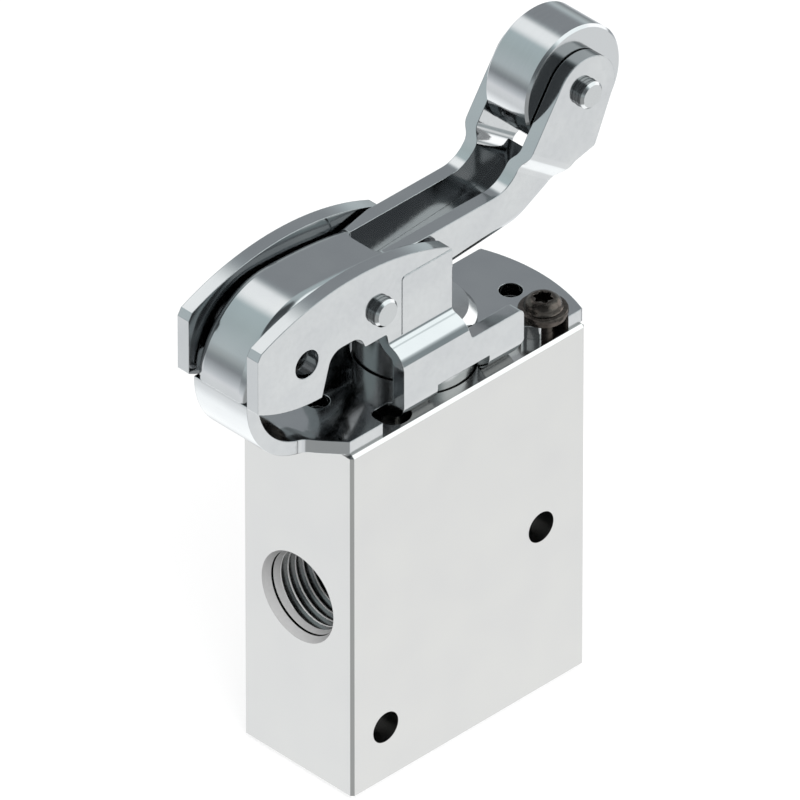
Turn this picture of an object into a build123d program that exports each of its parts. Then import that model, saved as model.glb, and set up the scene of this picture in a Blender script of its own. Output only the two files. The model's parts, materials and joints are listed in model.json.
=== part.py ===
from build123d import *
import os
from math import asin, atan2, cos, degrees, radians, sin, sqrt, tan

# Roller lever air valve, 3/2-way, normally closed, millimetres.
# Origin: centre of the body's bottom face. +X: towards the roller. +Z: up.
# "Front" is the -Y side, where the screw beside the roller is seen.
# A "rise" is a height above the body's top face, a "drop" a depth below it.

# Body block
body_length = 42.0
body_width = 20.0
body_height = 54.2
body_edge = 0.4
port_radius = 6.58              # major radius of the G1/4 pipe thread
port_depth = 11.0
outlet_height = 27.1            # port 2, on the -X face
inlet_height = 13.0             # port 1, on the +X face
duct_radius = 3.6               # from the foot of a port to its chamber
fixing_hole_radius = 2.25
upper_hole_x = 13.0
upper_hole_height = 26.0
lower_hole_x = -15.0
lower_hole_height = 8.5
lower_chamber_radius = 7.0
lower_chamber_top = 20.0
upper_chamber_radius = 5.6
bush_seat_drop = 19.2
plunger_bore_radius = 8.25
vent_radius = 2.48              # exhaust outlet beside the bracket's front wall
vent_x = -10.5
vent_drop = 8.2
vent_duct_radius = 1.2
vent_duct_slope = 2.1           # fall of the slanted duct for each millimetre inwards

# Folded steel bracket
sheet = 2.0
plate_inset = 0.7               # the plate's edge behind the body's side
plate_end_bulge = 1.7
plate_fillet = 0.3
bend_radius = 1.6               # at mid thickness, where the walls leave the plate
curl_centre_x = -22.75
curl_outer_radius = 11.8
curl_rise = 0.35                # straight end of the strip above the curl's quarter turn
shoulder_x = -20.65             # where the plate starts to narrow towards the strip
shoulder_angle = 49.0
shoulder_fillet = 2.0
wall_left = -11.0
wall_right = 10.5
wall_rise = 7.3
wall_left_rise = 8.1
wall_foot_right = 9.3           # the wall is narrower where it leaves the plate
wall_foot_rise = 0.9
wall_neck_rise = 2.4
wall_step_x = 1.2               # right of here the wall has no cheek
wall_slit = 0.3                 # between the back wall's foot and the plate's edge
joggle_rise = 8.8
joggle_offset = 2.0
joggle_angle = 60.0
joggle_radius = 1.8             # at mid thickness
cheek_left = -35.0
cheek_right = -0.45
cheek_right_rise = 11.7
cheek_foot_rise = 13.5
cheek_neck_x = -12.1
cheek_corner_fillet = 1.2
cheek_corner_chamfer = 0.7
cheek_crown_radius = 40.0
cheek_crown_x = -17.6
cheek_top_rise = 25.25
cheek_heel_radius = 24.0
cheek_heel_x = -23.5
cheek_heel_rise = 9.5
arch_foot_x = -15.95
arch_right = -16.6
arch_left = -21.9
arch_heel_x = -23.93
arch_rise = 15.55
arch_fillet = 2.3
spare_cheek_hole_x = -26.3
spare_cheek_hole_rise = 16.0
spare_cheek_hole_radius = 2.05
scribed_x = -9.4                # fine angled line marked on the cheek's face
scribed_low_rise = 12.2
scribed_high_rise = 21.1
scribed_corner = 0.6
scribed_width = 0.16
scribed_depth = 0.1
spare_hole_inset = 3.7          # from the body's end face
spare_hole_radius = 1.6
relief_left = -14.8             # bend relief beside the walls' left ends
relief_depth = 2.8
relief_radius = 1.3
screw_inset = 4.5               # from the body's end face
screw_slot_radius = 2.0
slot_lip_reach = 2.3            # from the screw; the plate's edge is cut back from the wall to here
slot_lip_foot_reach = 3.5
slot_lip_inset = 0.9
notch_left = -3.8
notch_foot_left = -4.9
notch_right = 4.3
notch_rise = 3.0
notch_foot_rise = 1.6
notch_inner_y = 6.0
notch_fillet = 0.8
wall_fillet = 1.0
small_fillet = 0.4
plunger_hole_clearance = 0.27

# Bracket screws, M3 with a flanged round head
screw_radius = 1.5
screw_length = 10.0
screw_tip_gap = 1.0
screw_flange_radius = 3.3
screw_flange = 0.8
screw_dome_radius = 2.5
screw_dome = 1.5
screw_dome_bevel = 0.6
washer_radius = 3.05
washer_thickness = 0.5
washer_clearance = 0.1

# Lever
pivot_x = -13.1
pivot_rise = 17.8
pivot_radius = 2.0
pivot_stand_out = 1.2
pin_chamfer = 0.35
pin_groove = 0.15               # fine ring groove near the ends of both pins
pin_groove_reach = 0.55         # from the sheet the pin stands out of
lever_side_gap = 0.5
fork_step = 1.2                 # how much wider the fork is than the arm, on each side
fork_step_angle = 36.9
fork_step_radius = 2.0          # at mid thickness
fork_line_x = 18.0
fork_line_rise = 23.5
fork_line_slope = 36.2          # fall of the step's line towards the roller
web_centre_x = -22.6
web_centre_rise = 11.85
web_radius = 12.05
web_fall_radius = 74.0
web_end_x = -9.5
web_foot_step = 0.4
web_corner_radius = 1.0
arm_top_end = 12.2
arm_top_fillet = 5.0
arm_back_lean = 55.5
fork_front_lean = 65.6
arm_heel_x = 26.4               # front lower corner of the fork end
arm_heel_rise = 23.35
arm_heel_fillet = 0.6
fork_foot_x = 22.9
fork_foot_rise = 22.55
step_foot_x = 19.4              # where the fork's lower edge starts, above the end of the fold
step_foot_rise = 20.725
tray_end_x = 19.28
tray_end_rise = 19.3
tray_bend_x = 14.18             # the folded floor turns up towards the roller here
tray_bend_rise = 16.64
tray_bend_radius = 8.0
tray_left = -10.0
arm_foot_x = 1.5
arm_foot_rise = 15.66
arm_foot_fillet = 1.5
fold_left = 2.1                 # where the rounded fold under the arm begins
lever_foot_rise = 13.8
lever_foot_fillet = 2.0
lever_edge_radius = 1.8
lever_edge_fade = 5.9           # length over which the rounded edge runs out
nose_x = -3.5
nose_radius = 3.0
nose_slant = 3.6                # run from the nose up to the lever's flat foot

# Roller
roller_x = 24.73
roller_rise = 32.4
roller_radius = 8.5
roller_side_gap = 0.2
roller_chamfer = 0.35
roller_pin_radius = 1.95
roller_pin_stand_out = 1.3
roller_space = 0.5              # between the roller and the folded floor
fork_end_radius = 5.15

# Plunger and stem
plunger_radius = 8.04
plunger_rise = 8.5
plunger_chamfer = 1.1
plunger_chamfer_drop = 1.4
plunger_skirt_drop = 7.2
plunger_cavity_radius = 6.6
plunger_ceiling_rise = 4.8
plunger_flat_clearance = 0.1
plunger_post_radius = 4.0
plunger_post_drop = 0.2
stem_radius = 2.6
stem_bore_radius = 1.3
stem_rise = 2.8
stem_cap = 2.0
stem_hole_radius = 0.9
stem_hole_drop = 4.2
exhaust_gap = 0.5               # between the stem's foot and the poppet at rest

# Guide bush under the plunger
bush_height = 3.0
bush_hub_radius = 4.0
bush_hub_height = 3.0
ring_thickness = 0.8
ring_groove_depth = 0.5
ring_width = 1.7
ring_opening = 5.0

# Seat, poppet and bottom plug
seat_bore_radius = 3.5
seat_lip_radius = 4.0
seat_lip_height = 1.0
seat_height = 1.8
poppet_radius = 5.2
poppet_thickness = 2.2
facing_radius = 4.6
facing_thickness = 1.6
facing_recess = 1.0
poppet_shank_radius = 2.0
poppet_shank_foot = 6.2
plug_height = 8.0
plug_boss_radius = 3.4
plug_boss_height = 2.2
plug_guide_foot = 4.2
spanner_hole_radius = 1.0
spanner_hole_x = 4.5
spanner_hole_depth = 2.0

# Seal rings
seal_cord_radius = 0.75
seat_seal_cord_radius = 0.5
groove_side_gap = 0.1
plug_seal_height = 5.5

# Springs
return_spring_radius = 5.4
return_spring_wire = 0.5
return_spring_turns = 5
poppet_spring_radius = 4.5
poppet_spring_wire = 0.4
poppet_spring_turns = 3

# Clearances
press_gap = 0.02                # pieces fixed in one another
running_gap = 0.05              # pins and stems that turn or slide
facing_gap = 0.02               # faces that touch at rest in the real valve
stop_gap = 0.05                 # lever against its upper stop, nose above the plunger
cut_over = 1.0                  # how far a cutting shape runs past the face it opens
far = 60.0                      # past every outer face of the bracket and the lever

# Worked out from the sizes above
half_length = body_length / 2
plate_top = body_height + sheet
plate_half_width = body_width / 2 - plate_inset
bend_line = plate_half_width - bend_radius - sheet / 2
wall_inner = plate_half_width - sheet
cheek_outer = plate_half_width - joggle_offset
cheek_inner = cheek_outer - sheet
lever_half_width = cheek_inner - lever_side_gap
strip_half_width = lever_half_width
fork_half_width = lever_half_width + fork_step
roller_width = 2 * (fork_half_width - sheet - roller_side_gap)
wall_top = body_height + wall_rise
cheek_foot = body_height + cheek_foot_rise
cheek_crown_height = body_height + cheek_top_rise - cheek_crown_radius
cheek_heel_height = body_height + cheek_heel_rise + cheek_heel_radius
arch_top = body_height + arch_rise
arch_middle = (arch_left + arch_right) / 2
curl_centre_height = body_height + curl_outer_radius
screw_x = half_length - screw_inset
screw_y = screw_flange_radius - body_width / 2
spare_hole_x = half_length - spare_hole_inset
pivot_height = body_height + pivot_rise
web_centre = (web_centre_x, body_height + web_centre_rise)
arm_foot = (arm_foot_x, body_height + arm_foot_rise)
tray_bend = (tray_bend_x, body_height + tray_bend_rise)
tray_end = (tray_end_x, body_height + tray_end_rise)
tray_slope = (tray_bend_rise - arm_foot_rise) / (tray_bend_x - arm_foot_x)
lever_foot = body_height + lever_foot_rise
roller_height = body_height + roller_rise
plunger_top = body_height + plunger_rise
plunger_skirt_foot = body_height - plunger_skirt_drop
plunger_ceiling = body_height + plunger_ceiling_rise
plunger_post_foot = body_height - plunger_post_drop
stem_top = body_height + stem_rise
seat_foot = lower_chamber_top - seat_height
lip_foot = seat_foot - seat_lip_height
facing_top = lip_foot - facing_gap
poppet_top = facing_top - facing_thickness + facing_recess
poppet_foot = poppet_top - poppet_thickness
stem_foot = facing_top + exhaust_gap
bush_seat_height = body_height - bush_seat_drop
bush_top = bush_seat_height + bush_height
bush_seal_height = (bush_seat_height + bush_top) / 2
seat_seal_height = (seat_foot + lower_chamber_top) / 2
nose_height = plunger_top + stop_gap + nose_radius
rear_foot = curl_centre_height + curl_rise + stop_gap


def outline(*corners):
    """Closed face from corners (u, v) or (u, v, fillet radius)."""
    points = [corner[:2] for corner in corners]
    radii = [corner[2] if len(corner) == 3 else 0 for corner in corners]
    return make_face(FilletPolyline(*points, radius=radii, close=True))


def sheet_section(corners, left, right):
    """Section of a bent strip that lies along a line, a distance to the line's left and right.

    The corners are (u, v, bend radius on the line); the strip's two ends have no radius.
    """
    line = [Vector(corner[0], corner[1]) for corner in corners]
    left_side = []
    right_side = []
    for i, point in enumerate(line):
        before = (point - line[i - 1]).normalized() if i > 0 else None
        after = (line[i + 1] - point).normalized() if i < len(line) - 1 else None
        incoming = before or after
        outgoing = after or before
        normal_in = Vector(-incoming.Y, incoming.X)
        normal_out = Vector(-outgoing.Y, outgoing.X)
        normal = (normal_in + normal_out) / (1 + normal_in.dot(normal_out))
        turn = 1 if incoming.X * outgoing.Y > incoming.Y * outgoing.X else -1
        bend = corners[i][2] if len(corners[i]) == 3 else 0
        left_bend = max(bend - turn * left, 0) if bend else 0
        right_bend = max(bend + turn * right, 0) if bend else 0
        left_side.append((point.X + left * normal.X, point.Y + left * normal.Y, left_bend))
        right_side.append((point.X - right * normal.X, point.Y - right * normal.Y, right_bend))
    return outline(*left_side, *reversed(right_side))


def box_between(low_u, high_u, low_v, high_v):
    """Plain rectangle between two u and two v values."""
    return outline((low_u, low_v), (high_u, low_v), (high_u, high_v), (low_u, high_v))


def across(face, half_width):
    """X-Z face made solid, centred on the middle plane."""
    return extrude(Plane.XZ * face, amount=half_width, both=True)


def between(face, low_y, high_y):
    """X-Z face made solid from one Y to another."""
    return Pos(0, high_y, 0) * extrude(Plane.XZ * face, amount=high_y - low_y)


def upright(radius, low, high, x=0.0, y=0.0):
    """Vertical cylinder between two heights."""
    return Pos(x, y, (low + high) / 2) * Cylinder(radius, high - low)


def crosswise(radius, length, x, height):
    """Cylinder along Y, centred on the middle plane."""
    return Pos(x, 0, height) * Rot(90, 0, 0) * Cylinder(radius, length)


def lengthwise(radius, low_x, high_x, height):
    """Cylinder along X."""
    return Pos((low_x + high_x) / 2, 0, height) * Rot(0, 90, 0) * Cylinder(radius, high_x - low_x)


def turned(*corners):
    """Solid of revolution about the Z axis from corners (radius, height)."""
    return revolve(Plane.XZ * outline(*corners), Axis.Z)


def point_mirrored(shape):
    """Copy turned half a turn about the Z axis."""
    return Rot(0, 0, 180) * shape


def front_and_back(shape):
    """The shape and its mirror image in the middle plane."""
    return shape + mirror(shape, about=Plane.XZ)


def seal_ring(inner_radius, cord_radius, height):
    """O-ring around the Z axis, with a lightly flattened cord."""
    middle = inner_radius + cord_radius
    corner_radius = cord_radius / cos(radians(22.5))
    corners = []
    for turn in range(8):
        angle = radians(22.5 + 45 * turn)
        corners.append((middle + corner_radius * cos(angle), height + corner_radius * sin(angle)))
    return turned(*corners)


def coil_spring(radius, wire, turns, low, high):
    """Compression spring standing between two faces."""
    rise = high - low - 2 * wire
    path = Pos(0, 0, low + wire) * Helix(pitch=rise / turns, height=rise, radius=radius)
    section = Plane(path @ 0, z_dir=path % 0) * RegularPolygon(wire, 6)
    return sweep(section, path=path, is_frenet=True)


def grooved_pin(radius, face_y, stand_out, x, height):
    """Cross pin with chamfered ends and a fine ring groove outside the faces it stands out of."""
    pin = crosswise(radius, 2 * (face_y + stand_out), x, height)
    pin = chamfer(pin.edges().filter_by(GeomType.CIRCLE), pin_chamfer)
    ring = crosswise(radius + cut_over, pin_groove, x, height)
    ring -= crosswise(radius - pin_groove, pin_groove, x, height)
    return pin - front_and_back(Pos(0, face_y + pin_groove_reach, 0) * ring)


def valve_body():
    block = Pos(0, 0, body_height / 2) * Box(body_length, body_width, body_height)
    block = chamfer(block.edges(), body_edge)
    port_foot = half_length - port_depth
    for side, height in ((-1, outlet_height), (1, inlet_height)):
        block -= lengthwise(port_radius, *sorted((side * half_length, side * port_foot)), height)
        block -= lengthwise(duct_radius, *sorted((side * (port_foot + cut_over), 0)), height)
    for x, height in ((upper_hole_x, upper_hole_height), (lower_hole_x, lower_hole_height)):
        block -= crosswise(fixing_hole_radius, 2 * body_width, x, height)
    block -= turned(
        (0, 0),
        (lower_chamber_radius, 0),
        (lower_chamber_radius, lower_chamber_top),
        (upper_chamber_radius, lower_chamber_top),
        (upper_chamber_radius, bush_seat_height),
        (plunger_bore_radius, bush_seat_height),
        (plunger_bore_radius, body_height),
        (0, body_height),
    )
    groove_radius = plunger_bore_radius + ring_groove_depth
    block -= upright(groove_radius, bush_top, bush_top + ring_thickness + 2 * press_gap)
    block -= upright(vent_radius, body_height - vent_drop, body_height, vent_x, screw_y)
    block -= vent_duct()
    screw_hole_radius = screw_radius + press_gap
    screw_hole = upright(screw_hole_radius, body_height - screw_length, body_height, screw_x, screw_y)
    block -= screw_hole + point_mirrored(screw_hole)
    spare_hole = upright(screw_hole_radius, body_height - screw_length, body_height, spare_hole_x)
    return block - (spare_hole + point_mirrored(spare_hole))


def vent_duct():
    """Slanted drilling from the vent down into the spring space around the plunger."""
    reach = sqrt(vent_x ** 2 + screw_y ** 2)
    run = reach - plunger_bore_radius + vent_duct_radius
    length = run * sqrt(1 + vent_duct_slope ** 2)
    tilt = 180 - degrees(atan2(1, vent_duct_slope))
    heading = degrees(atan2(-screw_y, -vent_x))
    drilling = Pos(0, 0, length / 2) * Cylinder(vent_duct_radius, length)
    return Pos(vent_x, screw_y, body_height - vent_radius) * Rot(0, 0, heading) * Rot(0, tilt, 0) * drilling


def plate_plan():
    """Plan of the bracket's base plate with the strip that curls up at its left."""
    half = plate_half_width
    past = half + cut_over
    neck_x = shoulder_x - (half - strip_half_width) / tan(radians(shoulder_angle))
    strip_end = curl_centre_x - curl_outer_radius - cut_over
    plan = outline(
        (shoulder_x, -half, plate_fillet),
        (half_length, -half, plate_fillet),
        (half_length, half, plate_fillet),
        (shoulder_x, half, plate_fillet),
        (neck_x, strip_half_width, shoulder_fillet),
        (strip_end, strip_half_width),
        (strip_end, -strip_half_width),
        (neck_x, -strip_half_width, shoulder_fillet),
    )
    end_arc = ThreePointArc((half_length, -half), (half_length + plate_end_bulge, 0), (half_length, half))
    plan += make_face(Wire([end_arc, Line((half_length, half), (half_length, -half))]))
    relief = outline(
        (relief_left, -past),
        (wall_left, -past),
        (wall_left, relief_depth - half),
        (relief_left, relief_depth - half, relief_radius),
    )
    plan -= front_and_back(relief + box_between(wall_left, wall_foot_right, -past, -bend_line))
    plan -= box_between(wall_foot_right - wall_slit, wall_foot_right + wall_slit, bend_line, past)
    plan -= outline(
        (wall_foot_right, -past),
        (screw_x, -past),
        (screw_x, slot_lip_inset - half),
        (screw_x - slot_lip_reach, slot_lip_inset - half, small_fillet),
        (screw_x - slot_lip_foot_reach, -bend_line, wall_fillet),
        (wall_foot_right, -bend_line),
    )
    slot = Pos(screw_x, screw_y) * Circle(screw_slot_radius)
    slot += box_between(screw_x - screw_slot_radius, screw_x + screw_slot_radius, -past, screw_y)
    plan -= slot + point_mirrored(slot)
    plan -= box_between(-screw_x, relief_left + relief_radius, -screw_y, past)
    plan -= Circle(plunger_radius + plunger_hole_clearance)
    for side in (-1, 1):
        plan -= Pos(side * spare_hole_x, 0) * Circle(spare_hole_radius)
    return plan


def cheek_top(x):
    """Height of the cheek's arched upper edge."""
    return cheek_crown_height + sqrt(cheek_crown_radius ** 2 - (x - cheek_crown_x) ** 2)


def wall_outline():
    """Front view of one side wall with its cheek."""
    high = cheek_crown_height + cheek_crown_radius + cut_over
    low = cheek_heel_height - cheek_heel_radius - cut_over
    face = outline(
        (wall_left, body_height),
        (wall_left, body_height + wall_left_rise, wall_fillet),
        (cheek_neck_x, cheek_foot, small_fillet),
        (arch_foot_x, cheek_foot, small_fillet),
        (arch_right, arch_top, arch_fillet),
        (arch_left, arch_top, arch_fillet),
        (arch_heel_x, low),
        (cheek_left, low),
        (cheek_left, high),
        (cheek_right, high),
        (cheek_right, body_height + cheek_right_rise, wall_fillet),
        (wall_step_x, wall_top, small_fillet),
        (wall_right, wall_top, wall_fillet),
        (wall_right, body_height + wall_neck_rise, small_fillet),
        (wall_foot_right, body_height + wall_foot_rise, small_fillet),
        (wall_foot_right, body_height),
    )
    below_heel = box_between(cheek_left - cut_over, cheek_heel_x, body_height, cheek_heel_height)
    face -= below_heel - Pos(cheek_heel_x, cheek_heel_height) * Circle(cheek_heel_radius)
    face &= Pos(cheek_crown_x, cheek_crown_height) * Circle(cheek_crown_radius)
    front_corner = face.vertices().sort_by_distance((cheek_right, cheek_top(cheek_right), 0))[0]
    face = fillet(front_corner, cheek_corner_fillet)
    back_corner = face.vertices().sort_by_distance((cheek_left, cheek_top(cheek_left), 0))[0]
    return chamfer(back_corner, cheek_corner_chamfer)


def front_wall():
    """Side wall folded up from the plate, with the joggle that brings its cheek inwards.

    Behind the arch the cheek is a flat slab, with no joggle under it.
    """
    middle = -plate_half_width + sheet / 2
    bend_corner = body_height + sheet / 2
    lower_corner = body_height + joggle_rise + joggle_radius * tan(radians(joggle_angle / 2))
    upper_corner = lower_corner + joggle_offset / tan(radians(joggle_angle))
    section = sheet_section(
        [
            (-bend_line + sheet / 2, bend_corner),
            (middle, bend_corner, bend_radius),
            (middle, lower_corner, joggle_radius),
            (middle + joggle_offset, upper_corner, joggle_radius),
            (middle + joggle_offset, body_height + cheek_top_rise + cut_over),
        ],
        sheet / 2,
        sheet / 2,
    )
    block = extrude(Plane.YZ.offset(arch_middle) * section, amount=far)
    block += between(box_between(-far, arch_middle, body_height, body_height + far), -cheek_outer, -cheek_inner)
    wall = block & across(wall_outline(), far)
    notch = outline(
        (notch_foot_left, body_height - cut_over),
        (notch_foot_left, body_height + notch_foot_rise, small_fillet),
        (notch_left, body_height + notch_rise, small_fillet),
        (notch_right, body_height + notch_rise, notch_fillet),
        (notch_right, body_height - cut_over),
    )
    wall -= between(notch, -far, 0)
    scribed_line = sheet_section(
        [
            (scribed_x, body_height + scribed_low_rise),
            (scribed_x, body_height + scribed_high_rise, scribed_corner),
            (cheek_right + cut_over, body_height + scribed_high_rise),
        ],
        scribed_width / 2,
        scribed_width / 2,
    )
    return wall - between(scribed_line, -cheek_outer - cut_over, -cheek_outer + scribed_depth)


def bracket():
    half = plate_half_width
    middle = body_height + sheet / 2
    curl_middle_radius = curl_outer_radius - sheet / 2
    strip_x = curl_centre_x - curl_middle_radius
    section = sheet_section(
        [
            (half_length + plate_end_bulge + cut_over, middle),
            (strip_x, middle, curl_middle_radius),
            (strip_x, curl_centre_height + curl_rise),
        ],
        sheet / 2,
        sheet / 2,
    )
    base = across(section, half) & extrude(plate_plan(), amount=2 * body_height)
    shape = base + front_and_back(front_wall())
    notch_floor = box_between(notch_foot_left, notch_right, body_height - cut_over, plate_top + cut_over)
    shape -= front_and_back(between(notch_floor, -far, -notch_inner_y))
    shape -= upright(plunger_radius + plunger_hole_clearance, 0, body_height + notch_rise)
    shape -= crosswise(pivot_radius + press_gap, far, pivot_x, pivot_height)
    spare_hole_height = body_height + spare_cheek_hole_rise
    return shape - crosswise(spare_cheek_hole_radius, far, spare_cheek_hole_x, spare_hole_height)


def bracket_screws():
    tip = body_height - screw_length + screw_tip_gap
    head_foot = plate_top + washer_thickness
    head_top = head_foot + screw_flange + screw_dome
    screw = turned(
        (0, tip),
        (screw_radius, tip),
        (screw_radius, head_foot),
        (screw_flange_radius, head_foot),
        (screw_flange_radius, head_foot + screw_flange),
        (screw_dome_radius, head_foot + screw_flange),
        (screw_dome_radius, head_top - screw_dome_bevel),
        (screw_dome_radius - screw_dome_bevel, head_top),
        (0, head_top),
    )
    screw = Pos(screw_x, screw_y, 0) * screw
    return Compound([screw, point_mirrored(screw)])


def screw_washers():
    washer_top = plate_top + washer_thickness
    washer = upright(washer_radius, plate_top, washer_top, screw_x, screw_y)
    washer -= upright(screw_radius + washer_clearance, plate_top, washer_top, screw_x, screw_y)
    return Compound([washer, point_mirrored(washer)])


def pivot_pin():
    return grooved_pin(pivot_radius, cheek_outer, pivot_stand_out, pivot_x, pivot_height)


def roller_pin():
    return grooved_pin(roller_pin_radius, fork_half_width, roller_pin_stand_out, roller_x, roller_height)


def fork_step_plane():
    """Plane square to the step's line: its X points up the arm to the roller."""
    slope = radians(fork_line_slope)
    return Plane(
        origin=(fork_line_x, 0, body_height + fork_line_rise),
        x_dir=(sin(slope), 0, cos(slope)),
        z_dir=(cos(slope), 0, -sin(slope)),
    )


def fork_step_block(low, high):
    """Block that bounds the lever's sides, from one half width on the arm to another at the fork."""
    run = (high - low) / tan(radians(fork_step_angle)) / 2
    section = outline(
        (-far, low),
        (-run, low, fork_step_radius),
        (run, high, fork_step_radius),
        (far, high),
        (far, -high),
        (run, -high, fork_step_radius),
        (-run, -low, fork_step_radius),
        (-far, -low),
    )
    return extrude(fork_step_plane() * section, amount=far, both=True)


def crown_height(x, inset):
    """Height of the lever's gently falling crown, or of the line a distance under it."""
    fall_radius = web_fall_radius - inset
    return web_centre[1] + web_radius - web_fall_radius + sqrt(fall_radius ** 2 - (x - web_centre_x) ** 2)


def crown_arcs(inset, end_x):
    """The lever's rounded back and falling crown, moved inwards by a distance."""
    radius = web_radius - inset
    foot_x = web_centre_x - sqrt(radius ** 2 - (rear_foot - web_centre[1]) ** 2)
    eighth = radius * sqrt(0.5)
    top = (web_centre_x, web_centre[1] + radius)
    middle_x = (web_centre_x + end_x) / 2
    return [
        ThreePointArc((foot_x, rear_foot), (web_centre_x - eighth, web_centre[1] + eighth), top),
        ThreePointArc(top, (middle_x, crown_height(middle_x, inset)), (end_x, crown_height(end_x, inset))),
    ]


def web():
    """Web that joins the two side plates over the lever's rear half, with rounded corners at its free end."""
    end_x = web_end_x + web_corner_radius
    outer = crown_arcs(0, end_x)
    inner = crown_arcs(sheet, end_x)
    ends = [Line(outer[1] @ 1, inner[1] @ 1), Line(inner[0] @ 0, outer[0] @ 0)]
    shape = across(make_face(Wire([*outer, ends[0], *reversed(inner), ends[1]])), lever_half_width)
    inner_half = lever_half_width - sheet
    mouth = outline(
        (web_end_x, -inner_half, web_corner_radius),
        (end_x + cut_over, -inner_half),
        (end_x + cut_over, inner_half),
        (web_end_x, inner_half, web_corner_radius),
    )
    return shape - extrude(mouth, amount=2 * body_height)


def lever_side():
    """Side view of the whole lever: rounded back, crown, arm, fork end and nose over the plunger."""
    back_lean = radians(arm_back_lean)
    front_lean = radians(fork_front_lean)
    radius = fork_end_radius
    back_tangent = (roller_x - radius * sin(back_lean), roller_height + radius * cos(back_lean))
    front_tangent = (roller_x + radius * sin(front_lean), roller_height - radius * cos(front_lean))
    fork_tip = (roller_x + 0.5 * radius, roller_height + sqrt(0.75) * radius)
    nose_right = (nose_x + 0.8 * nose_radius, nose_height - 0.6 * nose_radius)
    nose_left = (nose_x - 0.8 * nose_radius, nose_height - 0.6 * nose_radius)
    crown = crown_arcs(0, web_end_x)
    lever_top = crown_height(web_end_x, 0)
    plate_foot_x = (crown[0] @ 0).X + sheet + web_foot_step
    arm_top = FilletPolyline(
        (web_end_x, lever_top),
        (arm_top_end, lever_top),
        back_tangent,
        radius=[arm_top_fillet],
    )
    arm_under = FilletPolyline(
        front_tangent,
        (arm_heel_x, body_height + arm_heel_rise),
        (fork_foot_x, body_height + fork_foot_rise),
        (step_foot_x, body_height + step_foot_rise),
        tray_end,
        tray_bend,
        arm_foot,
        nose_right,
        radius=[arm_heel_fillet, arm_heel_fillet, 0, 0, tray_bend_radius, arm_foot_fillet],
    )
    rear_under = FilletPolyline(
        nose_left,
        (nose_left[0] - nose_slant, lever_foot),
        (plate_foot_x, lever_foot),
        (plate_foot_x, rear_foot),
        crown[0] @ 0,
        radius=[lever_foot_fillet, wall_fillet, 0],
    )
    path = [
        *crown,
        arm_top,
        ThreePointArc(back_tangent, fork_tip, front_tangent),
        arm_under,
        ThreePointArc(nose_right, (nose_x, nose_height - nose_radius), nose_left),
        rear_under,
    ]
    return make_face(Wire([edge for piece in path for edge in piece.edges()]))


def edge_corner(x, height, lean, outward):
    """Corner section cut away to round a long edge of the lever's side.

    The section's plane is square to a line that rises at the lean. Outward is 1 for an upper
    edge and -1 for a lower one.
    """
    inner = -lever_edge_radius - cut_over
    section = outline(
        (inner, press_gap),
        (press_gap, press_gap, lever_edge_radius),
        (press_gap, inner),
        (cut_over, inner),
        (cut_over, cut_over),
        (inner, cut_over),
    )
    normal = (outward * cos(lean), 0, outward * sin(lean))
    return Plane(origin=(x, lever_half_width, height), x_dir=(0, 1, 0), z_dir=normal) * section


def crown_rounding():
    """What rounds the long upper edge of the lever's crown, running out along the arm."""
    crown_top = web_centre[1] + web_radius
    fall = degrees(asin((web_end_x - web_centre_x) / web_fall_radius)) + 0.5
    start = edge_corner(web_centre_x, crown_top, 0, 1)
    back_axis = Axis((web_centre_x, 0, web_centre[1]), (0, -1, 0))
    fall_axis = Axis((web_centre_x, 0, crown_top - web_fall_radius), (0, 1, 0))
    run_out = lever_edge_radius * (1 - sqrt(0.5))
    end = edge_corner(web_end_x, crown_height(web_end_x, 0), 0, 1)
    shape = revolve(start, back_axis, revolution_arc=95) + revolve(start, fall_axis, revolution_arc=fall)
    return shape + extrude(end, amount=lever_edge_fade, dir=(lever_edge_fade, run_out, run_out))


def fold_rounding():
    """What rounds the fold along the arm's lower edge, up to the fork's step."""
    first = atan2(tray_slope, 1)
    second = atan2(tray_end[1] - tray_bend[1], tray_end_x - tray_bend_x)
    tangent = tray_bend_radius * tan((second - first) / 2)
    start = (fold_left, tray_bend[1] - tray_slope * (tray_bend_x - fold_left))
    bend_start = (tray_bend_x - tangent * cos(first), tray_bend[1] - tangent * sin(first))
    bend_end = (tray_bend_x + tangent * cos(second), tray_bend[1] + tangent * sin(second))
    centre = (bend_start[0] - tray_bend_radius * sin(first), bend_start[1] + tray_bend_radius * cos(first))
    straight = extrude(
        edge_corner(*start, first, -1),
        amount=(bend_start[0] - start[0]) / cos(first),
        dir=(cos(first), 0, sin(first)),
    )
    bend = revolve(
        edge_corner(*bend_start, first, -1),
        Axis((centre[0], 0, centre[1]), (0, -1, 0)),
        revolution_arc=degrees(second - first),
    )
    rise = extrude(
        edge_corner(*bend_end, second, -1),
        amount=(tray_end_x - bend_end[0]) / cos(second) + cut_over,
        dir=(cos(second), 0, sin(second)),
    )
    half_run = fork_step / tan(radians(fork_step_angle)) / 2
    step_start = -half_run - fork_step_radius * tan(radians(fork_step_angle / 2))
    arm_side = extrude(fork_step_plane() * box_between(-far, step_start, -far, far), amount=far, both=True)
    return straight + bend + (rise & arm_side)


def lever():
    solid = across(lever_side(), far) & fork_step_block(lever_half_width, fork_half_width)
    channel = solid & fork_step_block(lever_half_width - sheet, fork_half_width - sheet)
    tray_start = (tray_left, tray_bend[1] - tray_slope * (tray_bend_x - tray_left))
    tray = sheet_section([tray_start, (*tray_bend, tray_bend_radius), tray_end], sheet, 0)
    tray -= Pos(roller_x, roller_height) * Circle(roller_radius + roller_space)
    shape = solid - (channel - web() - across(tray, lever_half_width))
    shape -= front_and_back(crown_rounding())
    shape -= front_and_back(fold_rounding())
    shape -= crosswise(pivot_radius + running_gap, far, pivot_x, pivot_height)
    return shape - crosswise(roller_pin_radius + press_gap, far, roller_x, roller_height)


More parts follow.
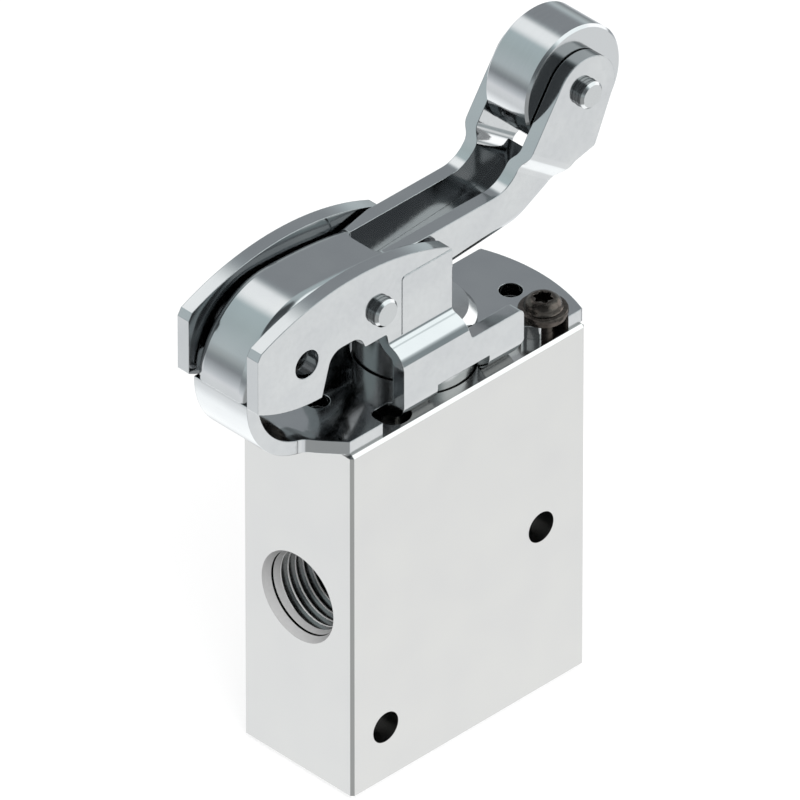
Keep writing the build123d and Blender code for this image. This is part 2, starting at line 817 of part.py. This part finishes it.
def roller():
    wheel = crosswise(roller_radius, roller_width, roller_x, roller_height)
    wheel = chamfer(wheel.edges().filter_by(GeomType.CIRCLE), roller_chamfer)
    return wheel - crosswise(roller_pin_radius + running_gap, 2 * roller_width, roller_x, roller_height)


def plunger():
    shape = turned(
        (plunger_post_radius, plunger_ceiling),
        (plunger_cavity_radius, plunger_ceiling),
        (plunger_cavity_radius, plunger_skirt_foot),
        (plunger_radius, plunger_skirt_foot),
        (plunger_radius, plunger_top - plunger_chamfer_drop),
        (plunger_radius - plunger_chamfer, plunger_top),
        (0, plunger_top),
        (0, stem_top + press_gap),
        (stem_radius + press_gap, stem_top + press_gap),
        (stem_radius + press_gap, plunger_post_foot),
        (plunger_post_radius, plunger_post_foot),
    )
    flat_foot = body_height + notch_rise - stop_gap
    flat = box_between(-plunger_radius, plunger_radius, flat_foot, plunger_top + cut_over)
    return shape - front_and_back(between(flat, -far, plunger_flat_clearance - wall_inner))


def stem():
    tube = upright(stem_radius, stem_foot, stem_top) - upright(stem_bore_radius, stem_foot, stem_top - stem_cap)
    return tube - crosswise(stem_hole_radius, 3 * stem_radius, 0, body_height - stem_hole_drop)


def grooved_ring(bore, outer, low, high, cord_radius, groove_middle):
    """Corners (radius, height) of a ring's outer side, with a groove for a seal."""
    groove_floor = outer - 2 * cord_radius - press_gap
    groove_half = cord_radius + groove_side_gap
    return [
        (bore, low),
        (outer, low),
        (outer, groove_middle - groove_half),
        (groove_floor, groove_middle - groove_half),
        (groove_floor, groove_middle + groove_half),
        (outer, groove_middle + groove_half),
        (outer, high),
    ]


def guide_bush():
    bore = stem_radius + running_gap
    outer = plunger_bore_radius - press_gap
    corners = grooved_ring(bore, outer, bush_seat_height, bush_top, seal_cord_radius, bush_seal_height)
    corners += [
        (bush_hub_radius, bush_top),
        (bush_hub_radius, bush_top + bush_hub_height),
        (bore, bush_top + bush_hub_height),
    ]
    groove_radius = bore + 2 * seal_cord_radius + press_gap
    groove_low = bush_seal_height - seal_cord_radius - groove_side_gap
    groove_high = bush_seal_height + seal_cord_radius + groove_side_gap
    return turned(*corners) - upright(groove_radius, groove_low, groove_high)


def bush_ring():
    """Open snap ring that holds the bush down on its seat."""
    outer = plunger_bore_radius + ring_groove_depth - press_gap
    low = bush_top + press_gap
    ring = upright(outer, low, low + ring_thickness)
    ring -= upright(outer - ring_width, low, low + ring_thickness)
    return ring - Pos(outer, 0, low) * Box(2 * outer, ring_opening, 2 * ring_thickness)


def seat_insert():
    outer = lower_chamber_radius - press_gap
    corners = grooved_ring(
        seat_lip_radius, outer, seat_foot, lower_chamber_top, seat_seal_cord_radius, seat_seal_height
    )
    corners += [
        (seat_bore_radius, lower_chamber_top),
        (seat_bore_radius, lip_foot),
        (seat_lip_radius, lip_foot),
    ]
    return turned(*corners)


def poppet():
    recess_floor = poppet_top - facing_recess
    return turned(
        (0, poppet_shank_foot),
        (poppet_shank_radius, poppet_shank_foot),
        (poppet_shank_radius, poppet_foot),
        (poppet_radius, poppet_foot),
        (poppet_radius, poppet_top),
        (facing_radius + press_gap, poppet_top),
        (facing_radius + press_gap, recess_floor),
        (0, recess_floor),
    )


def poppet_facing():
    return upright(facing_radius, facing_top - facing_thickness, facing_top)


def bottom_plug():
    outer = lower_chamber_radius - press_gap
    corners = grooved_ring(0, outer, 0, plug_height, seal_cord_radius, plug_seal_height)
    corners += [
        (plug_boss_radius, plug_height),
        (plug_boss_radius, plug_height + plug_boss_height),
        (poppet_shank_radius + running_gap, plug_height + plug_boss_height),
        (poppet_shank_radius + running_gap, plug_guide_foot),
        (0, plug_guide_foot),
    ]
    shape = turned(*corners)
    for side in (-1, 1):
        shape -= upright(spanner_hole_radius, 0, spanner_hole_depth, side * spanner_hole_x)
    return shape


def stem_seal():
    return seal_ring(stem_radius + running_gap, seal_cord_radius, bush_seal_height)


def bush_seal():
    inner = plunger_bore_radius - 2 * press_gap - 2 * seal_cord_radius
    return seal_ring(inner, seal_cord_radius, bush_seal_height)


def seat_seal():
    inner = lower_chamber_radius - 2 * press_gap - 2 * seat_seal_cord_radius
    return seal_ring(inner, seat_seal_cord_radius, seat_seal_height)


def plug_seal():
    inner = lower_chamber_radius - 2 * press_gap - 2 * seal_cord_radius
    return seal_ring(inner, seal_cord_radius, plug_seal_height)


def return_spring():
    return coil_spring(return_spring_radius, return_spring_wire, return_spring_turns, bush_top, plunger_ceiling)


def poppet_spring():
    return coil_spring(poppet_spring_radius, poppet_spring_wire, poppet_spring_turns, plug_height, poppet_foot)


parts = {
    "valve_body": valve_body,
    "bracket": bracket,
    "bracket_screws": bracket_screws,
    "screw_washers": screw_washers,
    "pivot_pin": pivot_pin,
    "lever": lever,
    "roller_pin": roller_pin,
    "roller": roller,
    "plunger": plunger,
    "stem": stem,
    "return_spring": return_spring,
    "guide_bush": guide_bush,
    "bush_ring": bush_ring,
    "bush_seal": bush_seal,
    "stem_seal": stem_seal,
    "seat_insert": seat_insert,
    "seat_seal": seat_seal,
    "poppet": poppet,
    "poppet_facing": poppet_facing,
    "poppet_spring": poppet_spring,
    "bottom_plug": bottom_plug,
    "plug_seal": plug_seal,
}

os.makedirs("parts", exist_ok=True)
for node, make in parts.items():
    export_step(make(), f"parts/{node}.step")
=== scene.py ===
import json
import math
import bpy
import bmesh
from mathutils import Matrix, Vector


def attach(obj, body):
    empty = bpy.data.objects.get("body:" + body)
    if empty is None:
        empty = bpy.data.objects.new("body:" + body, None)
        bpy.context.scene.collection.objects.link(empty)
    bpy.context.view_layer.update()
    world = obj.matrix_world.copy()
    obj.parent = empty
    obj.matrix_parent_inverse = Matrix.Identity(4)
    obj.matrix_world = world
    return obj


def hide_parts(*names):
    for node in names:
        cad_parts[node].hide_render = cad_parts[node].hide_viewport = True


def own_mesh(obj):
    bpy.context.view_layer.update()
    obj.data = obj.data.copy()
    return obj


# Roller lever air valve. Metres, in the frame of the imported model:
# origin at the centre of the body's bottom face, X towards the roller, Z up.

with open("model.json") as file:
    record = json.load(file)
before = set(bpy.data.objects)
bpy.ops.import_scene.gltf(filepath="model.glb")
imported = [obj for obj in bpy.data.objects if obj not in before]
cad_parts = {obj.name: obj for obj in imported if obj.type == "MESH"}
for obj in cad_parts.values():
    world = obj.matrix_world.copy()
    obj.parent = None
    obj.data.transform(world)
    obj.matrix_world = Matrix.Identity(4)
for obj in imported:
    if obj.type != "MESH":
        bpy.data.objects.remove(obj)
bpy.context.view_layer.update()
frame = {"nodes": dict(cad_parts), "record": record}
nodes = frame["nodes"]
record = frame["record"]
scene = bpy.context.scene
MM = 0.001


def place(name, data):
    """New object for a mesh, a lamp or a camera, shown in the scene."""
    made = bpy.data.objects.new(name, data)
    scene.collection.objects.link(made)
    return made


# Shader building

def colour(code):
    """sRGB hex such as c8ccd0 as the linear colour a shader takes."""
    channels = [int(code[i:i + 2], 16) / 255 for i in (0, 2, 4)]
    return (*[c / 12.92 if c <= 0.04045 else ((c + 0.055) / 1.055) ** 2.4 for c in channels], 1.0)


def add(tree, kind, inputs=None, **settings):
    """Adds a shader node; each input is a value or another node's output."""
    made = tree.nodes.new("ShaderNode" + kind)
    for name, value in settings.items():
        setattr(made, name, value)
    for name, value in (inputs or {}).items():
        if isinstance(value, bpy.types.NodeSocket):
            tree.links.new(value, made.inputs[name])
        else:
            made.inputs[name].default_value = value
    return made


def empty_tree(owner):
    """Node tree of a new material or world, cleared."""
    owner.use_nodes = True
    owner.node_tree.nodes.clear()
    return owner.node_tree


def surface(name, **shader_inputs):
    """New material with one shader; gives the material, its tree and the shader."""
    material = bpy.data.materials.new(name)
    tree = empty_tree(material)
    inputs = {key.replace("_", " "): value for key, value in shader_inputs.items()}
    shader = add(tree, "BsdfPrincipled", inputs)
    add(tree, "OutputMaterial", {"Surface": shader.outputs[0]})
    return material, tree, shader


def grain(tree, size, detail=2.0, stretch=(1, 1, 1)):
    """Noise whose features are about this size in metres, along the object's own axes."""
    own_axes = add(tree, "TexCoord").outputs["Object"]
    scaled = add(tree, "Mapping", {"Vector": own_axes, "Scale": [1 / (size * s) for s in stretch]})
    noise = add(tree, "TexNoise", {"Vector": scaled.outputs[0], "Scale": 1.0, "Detail": detail})
    return noise.outputs["Fac"]


def spread(tree, pattern, low, high):
    """A pattern from 0 to 1 as a value from low to high, with its middle tones drawn apart."""
    drawn_apart = {"Value": pattern, "From Min": 0.3, "From Max": 0.7, "To Min": low, "To Max": high}
    return add(tree, "MapRange", drawn_apart).outputs[0]


def blend(tree, share, first, second):
    """Output that goes from the first colour to the second by a share; each is hex or an output."""
    mixed = add(tree, "Mix", data_type="RGBA")
    tree.links.new(share, mixed.inputs["Factor"])
    slots = [socket for socket in mixed.inputs if socket.type == "RGBA"]
    for socket, value in zip(slots, (first, second)):
        if isinstance(value, str):
            socket.default_value = colour(value)
        else:
            tree.links.new(value, socket)
    return [socket for socket in mixed.outputs if socket.type == "RGBA"][0]


def finish_shader(tree, shader, pattern, colours, wear, roughness):
    """Colours a shader between two hex colours by one pattern and sets its roughness by another."""
    tree.links.new(blend(tree, spread(tree, pattern, 0, 1), *colours), shader.inputs["Base Color"])
    tree.links.new(spread(tree, wear, *roughness), shader.inputs["Roughness"])


def roughen(tree, shader, pattern, height, edge=None):
    """Bump of this height in metres, over sharp edges eased to a radius."""
    bump = add(tree, "Bump", {"Height": pattern, "Strength": 1.0, "Distance": height})
    if edge:
        eased = add(tree, "Bevel", {"Radius": edge}, samples=8)
        tree.links.new(eased.outputs[0], bump.inputs["Normal"])
    tree.links.new(bump.outputs[0], shader.inputs["Normal"])


# Finishes

def anodised_aluminium():
    """Extruded bar, milled, bead blasted and clear anodised: an even silvery satin with a very fine grain."""
    material, tree, shader = surface("clear_anodised_aluminium", Metallic=1.0)
    blasted = grain(tree, 0.25 * MM)
    cloud = grain(tree, 9 * MM)
    finish_shader(tree, shader, cloud, ("f2f1f0", "f5f4f2"), blasted, (0.15, 0.19))
    roughen(tree, shader, blasted, 0.001 * MM)
    return material


def cut_thread_painted_shade():
    """The same aluminium where threads are cut after blasting: mirror-like flanks drawn darker, as painted
    shade in the thread's flanks and the mouth's groove.
    """
    material, tree, shader = surface("cut_aluminium_thread_painted_shade", Metallic=1.0)
    marks = grain(tree, 0.3 * MM)
    finish_shader(tree, shader, marks, ("8c8d8d", "999a9a"), marks, (0.2, 0.28))
    return material


def pale_aluminium(name, dark, light):
    """The same aluminium where a tool left it pale and nearly matt, as on lead-ins; on the thread crests this
    pale copy is a painted highlight.
    """
    material, tree, shader = surface(name, Metallic=0.0, IOR=1.5)
    marks = grain(tree, 0.3 * MM)
    finish_shader(tree, shader, marks, (dark, light), marks, (0.45, 0.55))
    return material


def bright_steel():
    """Stamped sheet steel, nickel plated: mirror bright, with faint rolling waves and eased edges."""
    material, tree, shader = surface("bright_nickel_plated_steel", Metallic=1.0)
    wave = grain(tree, 5 * MM, 1.0)
    haze = grain(tree, 0.8 * MM)
    finish_shader(tree, shader, wave, ("dbdddf", "e1e3e4"), haze, (0.07, 0.12))
    roughen(tree, shader, wave, 0.006 * MM, edge=0.14 * MM)
    return material


def roller_steel():
    """Turned, hardened and plated steel: bright, with very fine rings round the axle left by grinding."""
    material, tree, shader = surface("ground_and_plated_steel", Metallic=1.0)
    rings = grain(tree, 0.3 * MM, 2.0, (12, 1, 12))
    finish_shader(tree, shader, rings, ("dcdee0", "dfe1e3"), rings, (0.11, 0.14))
    roughen(tree, shader, rings, 0.0003 * MM)
    return material


def pin_steel():
    """Drawn bar, cropped and tumbled: bright sides with a slightly dull end."""
    material, tree, shader = surface("drawn_bright_steel", Metallic=1.0)
    drawn = grain(tree, 0.2 * MM, 2.0, (1, 15, 1))
    finish_shader(tree, shader, drawn, ("dadcdd", "e0e2e3"), drawn, (0.12, 0.17))
    roughen(tree, shader, drawn, 0.0004 * MM)
    return material


def black_oxide_steel():
    """Oiled black oxide over machined steel: warm brown-black with small glints."""
    material, tree, shader = surface("oiled_black_oxide_steel", Metallic=1.0)
    oil = grain(tree, 0.5 * MM)
    finish_shader(tree, shader, oil, ("5f5853", "746c66"), oil, (0.2, 0.28))
    roughen(tree, shader, oil, 0.002 * MM)
    return material


def ground_steel():
    """Turned and centreless-ground steel: a satin shine with very fine rings round the upright axis."""
    material, tree, shader = surface("turned_and_ground_steel", Metallic=1.0)
    rings = grain(tree, 0.1 * MM, 2.0, (14, 14, 1))
    finish_shader(tree, shader, rings, ("e4e6e7", "eaecec"), rings, (0.16, 0.24))
    roughen(tree, shader, rings, 0.001 * MM)
    return material


def turned_brass():
    """Free-cutting brass from the lathe: yellow, with fine turning rings round the upright axis."""
    material, tree, shader = surface("turned_brass", Metallic=1.0)
    rings = grain(tree, 0.12 * MM, 2.0, (14, 14, 1))
    finish_shader(tree, shader, rings, ("b8924a", "cfa95e"), rings, (0.22, 0.34))
    roughen(tree, shader, rings, 0.003 * MM)
    return material


def spring_wire():
    """Patented and drawn spring wire: darker grey, with fine drawing marks."""
    material, tree, shader = surface("drawn_spring_wire", Metallic=1.0)
    marks = grain(tree, 0.15 * MM)
    finish_shader(tree, shader, marks, ("8d8f90", "a8aaab"), marks, (0.25, 0.4))
    roughen(tree, shader, marks, 0.002 * MM)
    return material


def nitrile_rubber():
    """Moulded nitrile rubber, lightly greased: black with a soft sheen."""
    material, tree, shader = surface("moulded_nitrile_rubber", Metallic=0.0, IOR=1.5)
    skin = grain(tree, 0.4 * MM)
    finish_shader(tree, shader, skin, ("161616", "212121"), skin, (0.4, 0.6))
    roughen(tree, shader, skin, 0.004 * MM)
    return material


def turned_aluminium():
    """Aluminium plug from the lathe: bright grey with turning rings."""
    material, tree, shader = surface("turned_aluminium", Metallic=1.0)
    own_axes = add(tree, "TexCoord").outputs["Object"]
    rings = add(
        tree, "TexWave", {"Vector": own_axes, "Scale": 0.25 / MM, "Distortion": 0.4, "Detail": 1.0},
        wave_type="RINGS", rings_direction="Z",
    ).outputs["Fac"]
    finish_shader(tree, shader, rings, ("c6c7c8", "d2d3d4"), rings, (0.28, 0.36))
    roughen(tree, shader, rings, 0.003 * MM)
    return material


finishes = {
    "anodised_aluminium": anodised_aluminium(),
    "bright_steel": bright_steel(),
    "roller_steel": roller_steel(),
    "pin_steel": pin_steel(),
    "black_steel": black_oxide_steel(),
    "ground_steel": ground_steel(),
    "brass": turned_brass(),
    "spring_steel": spring_wire(),
    "seal_rubber": nitrile_rubber(),
    "plug_aluminium": turned_aluminium(),
}
slot_of = {part["node"]: part["material_slot"] for part in record["subparts"]}
for name, piece in nodes.items():
    piece.data.materials.clear()
    piece.data.materials.append(finishes[slot_of[name]])


# Pieces made here

def mesh_object(name, shape, materials):
    """Object from a finished bmesh, which is freed."""
    data = bpy.data.meshes.new(name)
    shape.to_mesh(data)
    shape.free()
    for material in materials:
        data.materials.append(material)
    return place(name, data)


def new_piece(name, mesh_maker, finish, body, own_finishes=()):
    """Piece from a function that fills a bmesh, with its finish and body."""
    shape = bmesh.new()
    mesh_maker(shape)
    bmesh.ops.recalc_face_normals(shape, faces=shape.faces)
    piece = mesh_object(name, shape, own_finishes or [finishes[finish]])
    for face in piece.data.polygons:
        face.use_smooth = True
    piece.data.set_sharp_from_angle(angle=math.radians(35))
    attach(piece, body)
    return piece


def loft(shape, rings, closed_along=False):
    """Faces between neighbouring rings of points, each ring closed; gives a list of faces for each pair."""
    rows = [[shape.verts.new(point) for point in ring] for ring in rings]
    count = len(rows[0])
    pairs = list(zip(rows, rows[1:])) + ([(rows[-1], rows[0])] if closed_along else [])
    bands = []
    for low, high in pairs:
        turned = [(i + 1) % count for i in range(count)]
        bands.append([shape.faces.new((low[i], low[j], high[j], high[i])) for i, j in enumerate(turned)])
    if not closed_along:
        shape.faces.new(rows[0])
        shape.faces.new(reversed(rows[-1]))
    return bands


def use_second_finish(bands, first, last):
    """Gives faces first to last - 1 of each band the piece's second finish."""
    for band in bands:
        for face in band[first:last]:
            face.material_index = 1


# Ports: G1/4 pipe thread, 19 threads to the inch, Whitworth form
mounts = {mount["name"]: mount for mount in record["mounts"]}
thread_pitch = 25.4 / 19 * MM
thread_depth = 0.856 * MM
thread_start = 1.285 * MM
first_turn = 0.5
last_turn = 6.5
fade_turns = 0.35


def port_thread(face_x, inward, height, port_radius):
    """Thread ridge in a port, from under its smooth lead-in to near its foot."""
    def make(shape):
        steps = 60
        # Ridge section: (share of the pitch along the port, share of the thread's depth)
        profile = [(-0.47, -0.03), (-0.1, 0.92), (0.0, 1.0), (0.1, 0.92), (0.47, -0.03)]
        rings = []
        for i in range(int(steps * first_turn), int(steps * last_turn) + 1):
            turn = i / steps
            angle = 2 * math.pi * turn
            fade = min(1, (turn - first_turn) / fade_turns, (last_turn - turn) / fade_turns)
            x = face_x + inward * (thread_start + turn * thread_pitch)
            ring = []
            for along, depth in profile:
                radius = port_radius - thread_depth * (depth * max(fade, 0.02) if depth > 0 else depth)
                ring.append((
                    x + inward * along * thread_pitch,
                    radius * math.cos(angle),
                    height + inward * radius * math.sin(angle),
                ))
            rings.append(ring)
        # Crest faces take the pale matt finish, a painted highlight; the flanks keep the dark finish, painted
        # shade.
        crest = (1, 3)
        use_second_finish(loft(shape, rings), *crest)
    return make


def port_mouth(face_x, inward, height):
    """Countersunk lead-in of a port, with a fine groove before the thread."""
    def make(shape):
        steps = 72
        # Section: (depth from the face, radius) in millimetres
        profile = [
            (0.02, 6.6), (0.02, 6.55), (1.2, 6.08), (1.22, 6.45),
            (1.5, 6.45), (1.52, 6.02), (2.42, 5.74), (2.5, 6.6),
        ]
        rings = []
        for i in range(steps):
            angle = 2 * math.pi * i / steps
            across = math.cos(angle) * MM
            rise = inward * math.sin(angle) * MM
            rings.append([
                (face_x + inward * depth * MM, radius * across, height + radius * rise)
                for depth, radius in profile
            ])
        # The groove's faces take the dark thread finish: painted shade in the groove.
        groove = (2, 5)
        use_second_finish(loft(shape, rings, closed_along=True), *groove)
    return make


# Thread: dark flanks are painted shade, pale matt crests a painted highlight. Mouth: its own lead-in finish,
# with the dark thread finish in the groove as painted shade.
thread_shade_and_highlight = [cut_thread_painted_shade(), pale_aluminium("crest_aluminium_painted_highlight", "f0f0f0", "f6f6f6")]
mouth_finish_and_groove_shade = [pale_aluminium("lead_in_aluminium", "c6c6c6", "cecece"), thread_shade_and_highlight[0]]
for port in ("port_2", "port_1"):
    port_x, _, port_height = mounts[port]["pos_m"]
    into_body = -mounts[port]["axis"][0]
    bore_radius = mounts[port]["dims"]["r_mm"] * MM
    mouth = port_mouth(port_x, into_body, port_height)
    thread = port_thread(port_x, into_body, port_height, bore_radius)
    new_piece(port + "_mouth", mouth, "anodised_aluminium", "base", mouth_finish_and_groove_shade)
    new_piece(port + "_thread", thread, "anodised_aluminium", "base", thread_shade_and_highlight)


# Bracket screws: flanged round head with a six-lobe recess
head_foot = 56.7 * MM  # on the washer
screw_x = 16.5 * MM
screw_y = -6.7 * MM
lobe_depth = 0.26


def flanged_screw(x, y):
    """One screw at its place: threaded shank, flange, dome and recess."""
    def make(shape):
        steps = 72
        # Outline: (radius, height over the head's foot) in millimetres, and the share of the lobes' depth
        profile = [
            (0.6, -9.4, 0), (1.25, -9.0, 0), (1.5, -8.6, 0), (1.5, -0.05, 0), (1.7, 0.0, 0),
            (3.18, 0.0, 0), (3.3, 0.1, 0), (3.3, 0.55, 0), (3.2, 0.74, 0), (3.0, 0.8, 0),
            (2.62, 0.84, 0), (2.5, 0.98, 0), (2.46, 1.35, 0), (2.32, 1.7, 0), (2.05, 2.0, 0),
            (1.72, 2.2, 0), (1.46, 2.28, 0), (1.38, 2.28, 0.6), (1.34, 2.22, 1),
            (1.3, 1.0, 1), (0.4, 0.8, 1),
        ]
        rings = []
        for radius, height, lobed in profile:
            ring = []
            for i in range(steps):
                angle = 2 * math.pi * i / steps
                lobe = 1 - lobed * lobe_depth * (0.5 - 0.5 * math.cos(6 * angle))
                reach = radius * MM * lobe
                ring.append((
                    x + reach * math.cos(angle),
                    y + reach * math.sin(angle),
                    head_foot + height * MM,
                ))
            rings.append(ring)
        loft(shape, rings)
    return make


front_screw = new_piece("bracket_screw_front", flanged_screw(screw_x, screw_y), "black_steel", "base")
back_screw = new_piece("bracket_screw_back", flanged_screw(-screw_x, -screw_y), "black_steel", "base")
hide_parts("bracket_screws")
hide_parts("bracket_screws")


# Upper end of the lever's folded floor, between the fork's sides under the roller
floor_half_width = 3.98 * MM


def floor_tongue(shape):
    """Short curved sheet: corners (x, height) in millimetres, from the fold to under the roller."""
    upper = [(18.2, 75.19), (19.4, 75.82), (20.2, 76.25), (20.6, 76.5), (20.7, 76.42)]
    lower = [(20.7, 76.0), (20.4, 75.55), (19.4, 74.95), (18.2, 74.3)]
    sides = (-floor_half_width, floor_half_width)
    loft(shape, [[(x * MM, y, z * MM) for x, z in upper + lower] for y in sides])


new_piece("lever_floor_end", floor_tongue, "bright_steel", "lever")


# Springs: the imported coils, copied as pieces of the base in place of the imported ones
for joint in record["behaviour"]["joints"]:
    for spring in joint.get("deforming_nodes", []):
        node = spring["node"]
        coil = place(node + "_coil", nodes[node].data.copy())
        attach(coil, "base")
        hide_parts(node)
        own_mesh(coil)


# Studio

def pale_floor():
    """Matt white table: clear white to the camera, with the object's soft shadow. Metal sees through it."""
    glow_to_camera = 0.68
    material = bpy.data.materials.new("matt_white_table")
    tree = empty_tree(material)
    ray = add(tree, "LightPath").outputs
    glow = add(tree, "Math", {0: ray["Is Camera Ray"], 1: glow_to_camera}, operation="MULTIPLY")
    paint = add(tree, "BsdfDiffuse", {"Color": colour("a8a8a8")})
    light = add(tree, "Emission", {"Color": (1, 1, 1, 1), "Strength": glow.outputs[0]})
    both = add(tree, "AddShader", {0: paint.outputs[0], 1: light.outputs[0]})
    clear = add(tree, "BsdfTransparent")
    from_below = add(tree, "NewGeometry").outputs["Backfacing"]
    passed = add(tree, "Math", {0: from_below, 1: ray["Is Glossy Ray"]}, operation="MAXIMUM")
    shown = add(tree, "MixShader", {0: passed.outputs[0], 1: both.outputs[0], 2: clear.outputs[0]})
    add(tree, "OutputMaterial", {"Surface": shown.outputs[0]})
    return material


floor_half_size = 4.0
floor_drop = 0.2 * MM
floor_shape = bmesh.new()
floor_shape.faces.new([
    floor_shape.verts.new((x * floor_half_size, y * floor_half_size, -floor_drop))
    for x, y in ((-1, -1), (1, -1), (1, 1), (-1, 1))
])
mesh_object("table_top", floor_shape, [pale_floor()])


# What metal sees of the tent's walls, by the sine of the height that it looks at
tilted_up = (0.077, -0.077, 1.0)
wall_stops = [
    (-1.0, "f6f7f7"), (-0.82, "f4f6f6"), (-0.74, "dadcdd"), (-0.67, "c5c7c8"),
    (-0.58, "cacccd"), (-0.49, "cdced0"), (-0.44, "bec1c4"), (-0.33, "a1a5a8"),
    (-0.20, "7b7f82"), (-0.12, "7f8587"), (-0.04, "929899"), (0.09, "a4acae"),
    (0.25, "a1aaac"), (0.50, "9aa5a6"), (0.70, "9eaaac"), (1.0, "9aa3a5"),
]
# Panels on the walls: (direction, cosine at the soft rim, cosine where it is full, colour). Each comment
# names the faces that show the panel to the camera, with the part at rest.
panels = [
    ((0.04, 0.578, 0.813), 0.95, 0.998, "e2e4e4"),   # tops that lean left, such as the lever's crown
    ((0.57, -0.64, 0.515), 0.82, 0.93, "eef4f4"),    # folds and chamfers between front and top
    ((0.57, -0.58, -0.585), 0.86, 0.95, "d5d6d6"),   # front faces
    ((0.98, -0.15, 0.08), 0.90, 0.97, "ffffff"),     # rounds between front, top and right
    ((0.60, 0.56, 0.56), 0.87, 0.97, "7c8083"),      # top faces
    ((0.57, -0.74, -0.36), 0.962, 0.985, "7c8486"),  # front faces that lean back
    ((-0.3, -0.25, 0.92), 0.80, 0.92, "3c4042"),     # rounds between the view and the top
    ((-0.57, -0.58, 0.59), 0.76, 0.94, "505456"),    # faces square to the view
    ((-0.58, -0.57, -0.58), 0.85, 0.95, "8c8e8e"),   # upright corners between front and left
]
# Strength of the tent: to metal it fades with each further reflection, down to a least share
metal_strength = 1.345
kept_per_reflection = 0.45
least_kept = 0.28
matt_strength = 0.85


def light_tent():
    """World: white to the camera, even grey to matt surfaces, and to metal a tent of walls and panels."""
    world = bpy.data.worlds.new("light_tent")
    tree = empty_tree(world)
    direction = add(tree, "TexCoord").outputs["Generated"]
    height = add(tree, "VectorMath", {0: direction, 1: tilted_up}, operation="DOT_PRODUCT").outputs["Value"]
    level = add(tree, "MapRange", {"Value": height, "From Min": -1.0, "From Max": 1.0})
    walls = add(tree, "ValToRGB", {"Fac": level.outputs[0]})
    ramp = walls.color_ramp
    while len(ramp.elements) < len(wall_stops):
        ramp.elements.new(0.5)
    for element, (sine, code) in zip(ramp.elements, wall_stops):
        element.position = (sine + 1) / 2
        element.color = colour(code)
    seen_by_metal = walls.outputs["Color"]
    for toward, rim, full, code in panels:
        centre = Vector(toward).normalized()
        near = add(tree, "VectorMath", {0: direction, 1: centre}, operation="DOT_PRODUCT")
        mask = add(tree, "MapRange", {"Value": near.outputs["Value"], "From Min": rim, "From Max": full},
                   interpolation_type="SMOOTHSTEP")
        seen_by_metal = blend(tree, mask.outputs[0], seen_by_metal, code)
    ray = add(tree, "LightPath").outputs
    depth = add(tree, "Math", {0: ray["Glossy Depth"], 1: 1.0}, operation="SUBTRACT")
    kept = add(tree, "Math", {0: kept_per_reflection, 1: depth.outputs[0]}, operation="POWER")
    at_least = add(tree, "Math", {0: kept.outputs[0], 1: least_kept}, operation="MAXIMUM")
    strength = add(tree, "Math", {0: at_least.outputs[0], 1: metal_strength}, operation="MULTIPLY")
    metal = add(tree, "Background", {"Color": seen_by_metal, "Strength": strength.outputs[0]})
    matt = add(tree, "Background", {"Color": colour("ffffff"), "Strength": matt_strength})
    plain = add(tree, "Background", {"Color": colour("ffffff"), "Strength": 1.0})
    tent = add(tree, "MixShader", {0: ray["Is Glossy Ray"], 1: matt.outputs[0], 2: metal.outputs[0]})
    straight = {0: ray["Is Camera Ray"], 1: ray["Is Transmission Ray"]}
    camera_or_glass = add(tree, "Math", straight, operation="MAXIMUM")
    every = add(tree, "MixShader", {0: camera_or_glass.outputs[0], 1: tent.outputs[0], 2: plain.outputs[0]})
    add(tree, "OutputWorld", {"Surface": every.outputs[0]})
    return world


scene.world = light_tent()
scene.view_settings.view_transform = "Standard"

# Soft square lamp that matt surfaces see; metal sees the world's panels in its place
lamp_data = bpy.data.lights.new("key_panel", "AREA")
lamp_data.size = 0.6
lamp_data.energy = 5.5
lamp_place = Vector((-0.35, -0.75, 0.9))
lamp_aim = Vector((0, 0, 0.05))
lamp = place("key_panel", lamp_data)
lamp.location = lamp_place
lamp.rotation_mode = "QUATERNION"
lamp.rotation_quaternion = (lamp_aim - lamp_place).to_track_quat("-Z", "Y")
lamp.visible_glossy = False
lamp.visible_camera = False


# Camera: long lens, from the front left and above
azimuth = math.radians(-44.498)
elevation = math.radians(35.826)
camera_distance = 3321.5 * MM
right = Vector((math.cos(azimuth), math.sin(azimuth), 0))
back = Vector((
    math.sin(azimuth) * math.cos(elevation),
    -math.cos(azimuth) * math.cos(elevation),
    math.sin(elevation),
))
up = back.cross(right)
aim = Vector((-6 * MM, 0, 48 * MM)) + 2.42 * MM * right + 2.12 * MM * up
camera_data = bpy.data.cameras.new("long_lens")
camera_data.sensor_width = 36
camera_data.lens = 1168.4
camera_data.clip_start = 0.5
camera_data.clip_end = 20
camera = place("long_lens", camera_data)
camera.matrix_world = Matrix((right, up, back)).transposed().to_4x4()
camera.location = aim + camera_distance * back
scene.camera = camera
